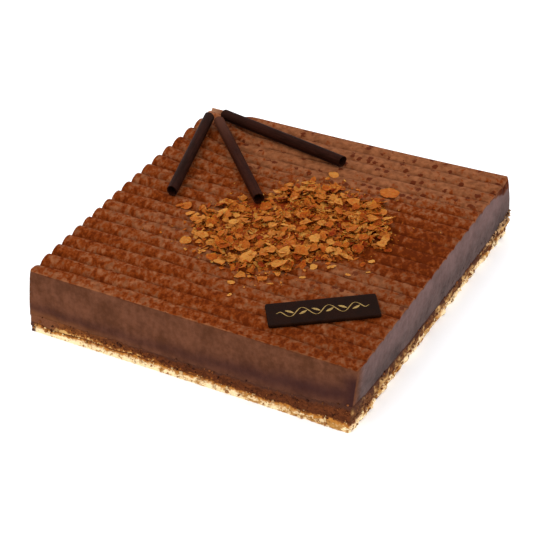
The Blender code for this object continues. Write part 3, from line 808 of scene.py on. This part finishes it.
def build_heap(look):
    rng = np.random.default_rng(SEED)
    heap_core(look)
    pile = Pile()
    kinds = {name: (heap_spots(rng, *spots), corners, tilt, RAGGED)
             for name, (*spots, corners, tilt) in HEAP_KINDS.items()}
    for name, (places, *kind) in PLACED_KINDS.items():
        spots = [(x * MM, y * MM, size * MM, narrow, tone) for x, y, size, narrow, tone in places]
        kinds[name] = (spots, *kind)
    for name, kind in kinds.items():
        scatter_flakes(name, *kind, pile, rng, look)


# ---- the chocolate sticks and the plaque ----

def build_stick(name, look, slot):
    """A thin sheet of chocolate rolled up, its ends broken unevenly."""
    far, near = (Vector(end) * MM for end in STICKS_MM[name])
    length = (near - far).length
    turns = np.linspace(0, math.tau * STICK_TURNS, STICK_POINTS)
    outer = STICK_RADIUS - STICK_PITCH * turns / math.tau
    radius = np.concatenate([outer, (outer - STICK_SHEET)[::-1]])
    angle = np.concatenate([turns, turns[::-1]]) + STICK_START
    count = len(radius)
    rings = []
    for step in np.linspace(-0.5, 0.5, STICK_RINGS):
        ring = np.column_stack([radius * np.cos(angle), radius * np.sin(angle),
                                np.full(count, step * length)])
        swell = noise_field(ring, STICK_SWELL_LENGTHS, length * 100)
        ring[:, :2] *= (1 + STICK_SWELL * (swell - 1))[:, None]
        chips = noise_field(ring * (1, 1, 0), STICK_CHIP_LENGTH, step + length * 50)
        at_end = math.copysign(STICK_CHIPS, step) if abs(step) == 0.5 else 0.0
        ring[:, 2] += ring[:, 0] * STICK_SLANT + at_end * chips
        rings.append(ring)
    faces = [face[::-1] for face in stack_faces(count, STICK_RINGS, False)]
    faces += sheet_caps(count, (STICK_RINGS - 1) * count)
    stick = piece(name + "_roll", np.array(rings), faces, look, (name,), slot, SHARP_EDGE)
    turn = (near - far).to_3d().to_track_quat("Z", "Y").to_matrix().to_4x4()
    middle = Vector((*(far + near) / 2, HEIGHT + GAP + STICK_RADIUS))
    stick.matrix_world = Matrix.Translation(middle) @ turn


def rounded_rectangle(width, depth):
    """The outline of a rectangle with round corners, anticlockwise."""
    points = []
    for corner, (side_x, side_y) in enumerate(((1, -1), (1, 1), (-1, 1), (-1, -1))):
        for step in range(PLAQUE_CORNER_STEPS + 1):
            turn = (corner - 1 + step / PLAQUE_CORNER_STEPS) * math.pi / 2
            points.append((
                side_x * (width / 2 - PLAQUE_CORNER) + PLAQUE_CORNER * math.cos(turn),
                side_y * (depth / 2 - PLAQUE_CORNER) + PLAQUE_CORNER * math.sin(turn)))
    return np.array(points)


def plaque_matrix(z):
    return Matrix.Translation((*PLAQUE_CENTRE, z)) @ Matrix.Rotation(PLAQUE_TURN, 4, "Z")


def build_plaque(look):
    width, depth = PLAQUE_SIZE.xy
    rings = []
    for inset, z in PLAQUE_EDGE_MM:
        flat = rounded_rectangle(width - 2 * inset * MM, depth - 2 * inset * MM)
        rings.append(np.column_stack([flat, np.full(len(flat), z * MM)]))
    faces = stack_faces(len(rings[0]), len(rings))
    plaque = piece("plaque_plate", rings, faces, look, ("plaque",), "plaque", SHARP_EDGE)
    plaque.matrix_world = plaque_matrix(HEIGHT + GAP)


def ribbon(path, widths):
    """The points and faces of a flat ribbon along a path in plan."""
    way = np.gradient(path, axis=0)
    way /= np.maximum(np.linalg.norm(way, axis=1, keepdims=True), 1e-9)
    side = np.column_stack([-way[:, 1], way[:, 0]]) * widths[:, None] / 2
    flat = np.concatenate([path + side, (path - side)[::-1]])
    count = len(flat)
    points = [np.column_stack([flat, np.full(count, z)]) for z in (0, PRINT_THICK)]
    return np.concatenate(points), ring_faces(count, 0, count) + sheet_caps(count, count)


def build_ornament(look):
    """A plain gold ornament: a waved stem with a pointed leaf in each bend."""
    along = np.linspace(-VINE_LENGTH / 2, VINE_LENGTH / 2, VINE_STEPS)
    turn = along / VINE_PITCH * math.tau
    fade = ease((VINE_LENGTH / 2 - np.abs(along)) / VINE_FADE)
    stem = np.column_stack([along, VINE_HEIGHT * np.sin(turn) * fade])
    shapes = [(stem, lerp(*VINE_WIDTHS, 0.5 + 0.5 * np.cos(2 * turn)))]
    share = np.linspace(0, 1, LEAF_STEPS)
    for bend in (np.arange(VINE_BENDS) - (VINE_BENDS - 1) / 2) * VINE_PITCH / 2:
        up = math.copysign(1, math.sin(bend / VINE_PITCH * math.tau))
        leaf = np.column_stack([bend + lerp(*LEAF_ALONG, share),
                                up * lerp(*LEAF_ACROSS, share ** LEAF_BEND)])
        shapes.append((leaf, lerp(*LEAF_WIDTHS, np.sin(share * math.pi))))
    points, faces, first = [], [], 0
    for path, widths in shapes:
        flat, sides = ribbon(path, widths)
        points.append(flat)
        faces += shifted(sides, first)
        first += len(flat)
    gold = piece("plaque_ornament", np.concatenate(points), faces, look, (), "plaque", 0)
    gold.matrix_world = plaque_matrix(HEIGHT + GAP + PLAQUE_SIZE.z - PRINT_SINK)


# ---- crumbs on the sides ----

def crumb_template():
    """The points and triangles of a ball: an octahedron with its edges halved."""
    points = [(1, 0, 0), (-1, 0, 0), (0, 1, 0), (0, -1, 0), (0, 0, 1), (0, 0, -1)]
    sides = ((0, 2, 4), (2, 1, 4), (1, 3, 4), (3, 0, 4), (2, 0, 5), (1, 2, 5), (3, 1, 5), (0, 3, 5))
    middles = {}
    faces = []
    for a, b, c in sides:
        halves = []
        for one, two in ((a, b), (b, c), (c, a)):
            pair = frozenset((one, two))
            if pair not in middles:
                middles[pair] = len(points)
                middle = np.add(points[one], points[two])
                points.append(middle / np.linalg.norm(middle))
            halves.append(middles[pair])
        ab, bc, ca = halves
        faces += [(a, ab, ca), (b, bc, ab), (c, ca, bc), (ab, bc, ca)]
    return np.array(points, float), faces


def anywhere(rng):
    """u and v of a random place round the cake's sides."""
    side = rng.integers(4)
    t = rng.uniform(-CRUMBS_TO, CRUMBS_TO)
    return ((t, -1.0), (1.0, t), (t, 1.0), (-1.0, t))[side]


def near_back_right(rng):
    """u and v of a random place on the right side, most of them near the back."""
    return 1.0, lerp(CRUMBS_TO, CORNER_CRUMBS_FROM, rng.random() ** CORNER_CRUMBS_POWER)


def scatter_crumbs(name, count, where, height, sizes, look, slot, rng):
    """Lumps stuck on the sides of the cake, at the heights that height() gives."""
    shape, template = crumb_template()
    points, faces, tones = [], [], []
    for i in range(count):
        u, v = (np.array(t) for t in where(rng))
        size = lerp(*sizes, rng.random() ** CRUMB_POWER) * MM
        spot = place(u, v, np.maximum(height(u, v, rng), size / 2))
        spot[:2] += outward(u, v) * size * (0.5 - CRUMB_SINK)
        stretch = rng.uniform(*CRUMB_STRETCH, 3) * size / 2
        lump = shape * (1 + rng.normal(0, CRUMB_DENT, (len(shape), 1))) * stretch
        turn = Matrix.Rotation(rng.uniform(0, math.tau), 3, rng.normal(0, 1, 3).tolist())
        lump = lump @ np.array(turn).T + spot
        lump[:, 2] = np.maximum(lump[:, 2], CRUMB_CLEAR)
        points.append(lump)
        faces += shifted(template, i * len(shape))
        tones.append(np.full(len(shape), rng.random()))
    return piece(name, np.array(points), faces, look, (), slot, tone=np.array(tones))


def crisp_band(u, v, rng):
    return lerp(sponge_height(u, v) - 0.8 * MM, crisp_height(u, v) + 0.6 * MM, rng.random())


def sponge_band(u, v, rng):
    return lerp(0.6 * MM, sponge_height(u, v) + 0.4 * MM, rng.random() ** 0.8)


def corner_band(u, v, rng):
    """Crumbs climb the mousse towards the back right corner."""
    climb = CORNER_CRUMBS_RISE * ease((v - CORNER_CRUMBS_FROM) / (1 - CORNER_CRUMBS_FROM))
    return crisp_height(u, v) + lerp(-1.0 * MM, climb, rng.random())


def build_crumbs():
    rng = np.random.default_rng(SEED + 1)
    scatter_crumbs("crisp_crumbs", 700, anywhere, crisp_band, (0.4, 1.7),
                   crumb_look("crisp_crumb", "2c1006", "7a4420"), "crisp", rng)
    scatter_crumbs("sponge_crumbs", 600, anywhere, sponge_band, (0.4, 2.2),
                   crumb_look("sponge_crumb", "8a5526", "e2c48e"), "sponge", rng)
    scatter_crumbs("corner_crumbs", 110, near_back_right, corner_band, (0.9, 3.0),
                   crumb_look("corner_crumb", "3a1c0d", "bd9468"), "sponge", rng)


# ---- materials ----

def srgb(code):
    """The linear colour of a six-digit screen colour."""
    shares = [int(code[i:i + 2], 16) / 255 for i in (0, 2, 4)]
    linear = [share / 12.92 if share <= 0.04045 else ((share + 0.055) / 1.055) ** 2.4
              for share in shares]
    return (*linear, 1.0)


class Look:
    """A material under construction.  Most methods add nodes and give their output; the
    lengths of patterns and the heights of bumps are in millimetres."""

    def __init__(self, name, roughness, specular):
        self.material = bpy.data.materials.new(name)
        self.material.use_nodes = True
        self.tree = self.material.node_tree
        self.shader = self.tree.nodes["Principled BSDF"]
        self.plug(self.shader, {"Roughness": roughness, "Specular IOR Level": specular})
        self.place = self.node("TexCoord", "Object", {})

    def plug(self, node, inputs):
        """Set each input to its number, or link it to the output that it is given."""
        for name, value in inputs.items():
            if isinstance(value, bpy.types.NodeSocket):
                self.tree.links.new(value, node.inputs[name])
            else:
                node.inputs[name].default_value = value

    def node(self, kind, output, inputs, **settings):
        made = self.tree.nodes.new("ShaderNode" + kind)
        for name, value in settings.items():
            setattr(made, name, value)
        self.plug(made, inputs)
        return made.outputs[output]

    def value(self, name):
        return self.node("Attribute", "Fac", {}, attribute_name=name)

    def along(self, axis):
        """How far the point lies along an axis."""
        return self.node("SeparateXYZ", axis, {0: self.place})

    def noise(self, length, detail=3.0, rough=0.55, scale=(1, 1, 1), warp=0.0, turn=0.0):
        place = self.node("Mapping", "Vector", {
            "Vector": self.place, "Scale": [1 / share for share in scale],
            "Rotation": (0, 0, turn)}, vector_type="TEXTURE")
        return self.node("TexNoise", "Fac", {
            "Vector": place, "Scale": 1 / (length * MM), "Detail": detail, "Roughness": rough,
            "Distortion": warp})

    def cells(self, length, output="Distance"):
        scale = 1 / (length * MM)
        return self.node("TexVoronoi", output, {"Vector": self.place, "Scale": scale})

    def chance(self, length, least):
        """1 in those of the same cells whose random number is above the least."""
        number = self.node("SeparateXYZ", 0, {0: self.cells(length, "Color")})
        return self.step(number, least, least + 0.02)

    def dots(self, length, rim, core, least):
        """Round dots in such cells, fading from their core to their rim."""
        return self.times(self.step(self.cells(length), rim, core), self.chance(length, least))

    def math(self, operation, a, b, c=0.0):
        return self.node("Math", 0, {0: a, 1: b, 2: c}, operation=operation)

    def times(self, product, *factors):
        for factor in factors:
            product = self.math("MULTIPLY", product, factor)
        return product

    def total(self, start, *weighed):
        """The start plus each value times its weight."""
        for value, weight in weighed:
            start = self.math("MULTIPLY_ADD", value, weight, start)
        return start

    def step(self, value, low, high, out_low=0.0, out_high=1.0):
        return self.node("MapRange", "Result", {
            "Value": value, "From Min": low, "From Max": high, "To Min": out_low,
            "To Max": out_high}, interpolation_type="SMOOTHSTEP")

    def mix(self, share, a, b):
        return self.node("Mix", 2, {"Factor": share, 6: a, 7: b}, data_type="RGBA")

    def blend(self, share, dark, light):
        return self.mix(share, srgb(dark), srgb(light))

    def ramp(self, value, low, high, dark, light):
        """From the dark colour to the light one, as the value goes from low to high."""
        return self.blend(self.step(value, low, high), dark, light)

    def tint(self, colour, code, *shares):
        """The colour drawn towards another, by the product of the shares."""
        return self.mix(self.times(*shares), colour, srgb(code))

    def done(self, colour, height, distance, strength=1.0, **more):
        """The material, with its colour, its bumps and more of the shader's inputs."""
        bump = self.node("Bump", "Normal", {
            "Height": height, "Distance": distance * MM, "Strength": strength})
        self.plug(self.shader, {"Base Color": colour, "Normal": bump, **more})
        return self.material


def mousse_look():
    """Cocoa on bare mousse and cut walls with streaks and air holes, with painted shade and
    highlight on the top, a painted shade band and a painted cool reflection on the walls.
    """
    look = Look("mousse", 0.75, 0.02)
    cover = look.value("cocoa")
    streaks = look.noise(5.0, 2, 0.5, (2.0, 0.8, 1.0), 0.2, STREAK_TURN)
    blots = look.noise(3.4, 2, 0.5, (1.1, 0.8, 1.0))
    grains = look.noise(1.3, 3, 0.6)
    dust = look.total(cover, (streaks, 1.5), (blots, 1.8), (grains, 1.1))
    dust = look.math("SUBTRACT", dust, 2.21)
    mask = look.step(dust, 0.20, 0.76)
    bare = look.ramp(look.noise(4, 3, 0.6), 0.3, 0.7, "62371e", "804d2f")
    cocoa = look.blend(look.noise(5, 3, 0.6), "561e06", "77350c")
    top = look.mix(mask, bare, cocoa)
    top = look.tint(top, "3c0f00", look.step(dust, 0.66, 1.10), 0.65)
    clots = look.total(look.cells(5.0), (look.noise(1.6, 3, 0.7), 0.85))
    top = look.tint(top, "4a1b07", look.step(clots, 0.84, 0.72), look.chance(5.0, 0.56),
                    look.step(cover, 0.52, 0.34), 0.95)
    # Painted shade: a thin dark line along each groove, and a darker cap at the back right of the
    # walls.
    top = look.tint(top, "300d02", look.value("groove"),
                    look.step(look.noise(9, 3), 0.35, 0.65, 0.25, 0.6))
    # A painted highlight: the back left corner of the top is paler, where it catches the light.
    back_left = look.math("SUBTRACT", look.along(0), look.along(1))
    top = look.tint(top, "a87c5e", look.step(back_left, -0.187, -0.197), 0.65)
    # Painted shade: the top darkens towards the front right, where less light falls.
    front_right = look.total(look.along(0), (look.along(1), -0.35))
    top = look.tint(top, "2b1008", look.step(front_right, 0.03, 0.11), 0.17)

    blotch = look.total(0.0, (look.noise(16, 3, 0.6), 0.5), (look.noise(3, 3, 0.6), 0.3),
                        (look.noise(3.4, 2, 0.5, (1, 1, 0.12)), 0.14))
    # On the right wall: grey and bluish colours, a painted cool reflection, painted darker lower
    # down as shade.
    front, high, low = (look.ramp(blotch, 0.33, 0.61, *pair) for pair in (
        ("472818", "603a28"), ("523f3b", "634c48"), ("3b2f2c", "54433f")))
    depth = look.value("depth")
    cool = look.value("cool")
    wall = look.mix(cool, front, look.mix(look.step(depth, 0.15, 0.85), high, low))
    # Painted shade: the dark band above the front wall's foot and towards its right corner.
    wall = look.tint(wall, "2b1617", look.value("band"), 0.78)
    wall = look.tint(wall, "6e4226", look.value("warm"), 0.6)
    # Painted shade: the air holes and pits are coloured dark for the shade inside them.
    pits = look.times(look.dots(3.2, 0.28, 0.16, 0.55), cool, look.step(depth, 0.55, 0.85))
    holes = look.math("MAXIMUM", look.dots(9, 0.13, 0.06, 0.84), pits)
    wall = look.tint(wall, "25100a", holes, 0.75)
    relief = look.total(0.0, (grains, 0.5), (mask, 0.4), (holes, -2.0))
    rough = look.step(mask, 0.0, 1.0, 0.65, 0.9)
    colour = look.mix(look.value("top"), wall, top)
    return look.done(colour, relief, 0.22, 0.7, Roughness=rough)


def crisp_look():
    """Brown crumb, paler to the left and in patches on the right side, with gold at its foot."""
    look = Look("crisp", 0.8, 0.04)
    high = look.value("high")
    x = look.along(0)
    tone = look.noise(3.0, 4, 0.75, (1, 1, 1.5))
    brown, paler, dark, tan = (look.ramp(tone, 0.35, 0.65, *pair) for pair in (
        ("43200f", "5e3017"), ("532b14", "764320"), ("34190d", "74482a"), ("7a4a22", "c79d64")))
    patch = look.times(look.step(look.noise(9.0, 2, 0.5, (1, 1, 0.6)), 0.47, 0.56), 0.9)
    colour = look.mix(look.step(x, -0.02, -0.07), brown, paler)
    colour = look.mix(look.value("right"), colour, look.mix(patch, dark, tan))
    upper = look.total(high, (look.noise(3.0, 3), 0.8))
    colour = look.tint(colour, "44271c", look.step(upper, 0.95, 1.35), look.step(x, -0.08, 0.0))
    specks = look.step(look.noise(1.7, 2, 0.5, (1, 1, 1.3)), 0.61, 0.67)
    colour = look.tint(colour, "200902", specks, look.step(high, 0.85, 0.45), 0.85)
    gold = look.total(0.0, (x, -2.2), (high, -0.45), (look.noise(2.6, 3, 0.6), 0.9))
    colour = look.tint(colour, "96561f", look.step(gold, 0.38, 0.50), 0.6)
    colour = look.tint(colour, "d3a765", look.step(gold, 0.50, 0.62), 0.8)
    colour = look.tint(colour, "683e28", look.value("smear"))
    return look.done(colour, look.noise(0.9, 4, 0.7), 0.5)


def sponge_look():
    """Cream crumb, browned towards the right and along its upper edge."""
    look = Look("sponge", 0.85, 0.06)
    right = look.value("right")
    cream = look.blend(look.noise(3.0, 3), "ebcb94", "f5e3bd")
    brown = look.blend(look.noise(2.2, 4, 0.7), "784416", "cc9a54")
    browned = look.total(look.noise(6.0, 4, 0.7, (1, 1, 1.4), 0.5), (look.along(0), 0.9))
    patch = look.step(look.noise(7.0, 2, 0.5, (1, 1, 0.6)), 0.42, 0.56)
    pale = look.step(look.times(right, patch), 0.0, 1.0, 1.0, 0.1)
    colour = look.mix(look.times(look.step(browned, 0.47, 0.62), pale), cream, brown)
    edge = look.total(look.value("high"), (look.noise(3.2, 4, 0.65), 0.9))
    fringe = look.times(look.step(edge, 0.88, 1.18), look.total(1.0, (right, -0.6)))
    colour = look.tint(colour, "ac702e", fringe)
    colour = look.tint(colour, "64341a", look.step(edge, 1.18, 1.42))
    lumps = look.total(look.noise(4.5, 4, 0.65, (1, 1, 1.3)), (right, 0.07))
    lumps = look.times(look.step(lumps, 0.60, 0.66), look.total(0.4, (right, 0.6)))
    colour = look.tint(colour, "55290f", lumps)
    pores = look.dots(1.5, 0.30, 0.14, 0.4)
    colour = look.tint(colour, "8a5420", pores, 0.5)
    colour = look.tint(colour, "4a2c22", look.value("smear"))
    return look.done(colour, look.math("SUBTRACT", look.noise(0.9, 4, 0.7), pores), 0.4)


def crumb_look(name, dark, light):
    look = Look(name, 0.85, 0.1)
    tone = look.total(0.0, (look.value("tone"), 0.9), (look.noise(0.9, 3), 0.4))
    return look.done(look.ramp(tone, 0.3, 1.0, dark, light), look.noise(0.4, 3), 0.2)


def wafer_look():
    """Golden wafer that lets some light through, in a tone of its own on each flake, with painted
    shade on the undersides.
    """
    look = Look("wafer", 0.7, 0.05)
    tone = look.total(0.0, (look.value("tone"), 0.8), (look.noise(2.4, 3, 0.6), 0.7))
    colour = look.ramp(tone, 0.30, 0.70, "651b01", "8e440d")
    colour = look.tint(colour, "ab7030", look.step(tone, 0.60, 1.15))
    colour = look.tint(colour, "8a4410", look.step(look.value("edge"), 0.75, 1.0), 0.35)
    look.plug(look.shader, {"Subsurface Weight": 0.55, "Subsurface Radius": (1.0, 0.5, 0.2),
                            "Subsurface Scale": 2.0 * MM})
    return look.done(colour, look.noise(0.6, 3, 0.6), 0.10)


def chocolate_look(name, dark, light, far):
    """Chocolate with fine streaks along a stick, in a colour of its own at the far end."""
    look = Look(name, 0.6, 0.02)
    streaks = look.noise(1.2, 4, 0.6, (1, 1, 0.08))
    bloom = look.noise(6, 3, 0.6, (1, 1, 0.5))
    colour = look.ramp(look.total(0.0, (bloom, 0.5), (streaks, 0.5)), 0.35, 0.65, dark, light)
    colour = look.tint(colour, far, look.step(look.along(2), -0.012, -0.048), 0.75)
    return look.done(colour, look.math("ADD", streaks, look.noise(0.5, 3)), 0.10)


def plaque_look():
    look = Look("plaque", 0.6, 0.02)
    tone = look.noise(5, 4, 0.6)
    rough = look.step(tone, 0.3, 0.7, 0.46, 0.58)
    colour = look.ramp(tone, 0.35, 0.65, "130501", "1a0903")
    return look.done(colour, look.noise(0.8, 3), 0.04, Roughness=rough)


def gold_look():
    look = Look("gold_print", 0.5, 0.3)
    tone = look.noise(0.9, 3)
    return look.done(look.ramp(tone, 0.3, 0.7, "6e5424", "9a7c3e"), tone, 0.03, Metallic=0.3)


def floor_look():
    look = Look("floor", 0.8, 0.1)
    look.plug(look.shader, {"Base Color": look.blend(look.noise(60, 2), "fcfbfa", "fefefd")})
    return look.material


# ---- the studio ----

def build_floor():
    bpy.ops.mesh.primitive_plane_add(size=8.0)
    floor = bpy.context.object
    floor.name = "floor"
    floor.data.materials.append(floor_look())


def build_world():
    world = bpy.data.worlds.new("studio")
    world.use_nodes = True
    back = world.node_tree.nodes["Background"]
    back.inputs["Color"].default_value = (0.96, 0.97, 1.0, 1.0)
    back.inputs["Strength"].default_value = 1.38
    bpy.context.scene.world = world


def area_light(name, place_mm, aim_mm, width, power, colour):
    data = bpy.data.lights.new(name, "AREA")
    data.shape = "DISK"
    data.size = width
    data.energy = power
    data.color = colour
    light = bpy.data.objects.new(name, data)
    spot = Vector(place_mm) * MM
    way = Vector(aim_mm) * MM - spot
    turn = way.to_track_quat("-Z", "Y").to_matrix().to_4x4()
    light.matrix_world = Matrix.Translation(spot) @ turn
    bpy.context.scene.collection.objects.link(light)


def build_camera():
    data = bpy.data.cameras.new("camera")
    data.lens = CAMERA_LENS
    data.sensor_width = CAMERA_SENSOR
    data.clip_start = 0.01
    camera = bpy.data.objects.new("camera", data)
    flat = math.cos(CAMERA_ELEVATION)
    back = Vector((math.sin(CAMERA_AZIMUTH) * flat, -math.cos(CAMERA_AZIMUTH) * flat,
                   math.sin(CAMERA_ELEVATION)))
    right = (-back).cross(Vector((0, 0, 1))).normalized()
    up = right.cross(-back)
    turned = Matrix((right, up, back)).transposed() @ Matrix.Rotation(CAMERA_ROLL, 3, "Z")
    spot = CAMERA_TARGET + back * CAMERA_DISTANCE
    camera.matrix_world = Matrix.Translation(spot) @ turned.to_4x4()
    bpy.context.scene.collection.objects.link(camera)
    bpy.context.scene.camera = camera


def build_studio():
    build_floor()
    build_world()
    for name, settings in LIGHTS.items():
        area_light(name, *settings)
    build_camera()
    bpy.context.scene.view_settings.view_transform = "Standard"


def main():
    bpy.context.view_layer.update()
    craggy_layer("sponge_layer", table_height, sponge_height, SPONGE_CRAG, SPONGE_LUMPS,
                 SMEAR_REACHES[0], sponge_look(), "dacquoise_base", "sponge")
    craggy_layer("crisp_layer", crisp_foot, crisp_height, CRISP_CRAG, CRISP_LUMPS,
                 SMEAR_REACHES[1], crisp_look(), "praline_crisp", "crisp")
    build_mousse(mousse_look())
    build_crumbs()
    build_heap(wafer_look())
    dark = chocolate_look("dark_chocolate", "190803", "271009", "22100a")
    milk = chocolate_look("milk_chocolate", "210903", "2e1207", "4a2a1e")
    build_stick("stick_left", dark, "dark_chocolate")
    build_stick("stick_middle", milk, "milk_chocolate")
    build_stick("stick_right", dark, "dark_chocolate")
    build_plaque(plaque_look())
    build_ornament(gold_look())
    build_studio()


main()
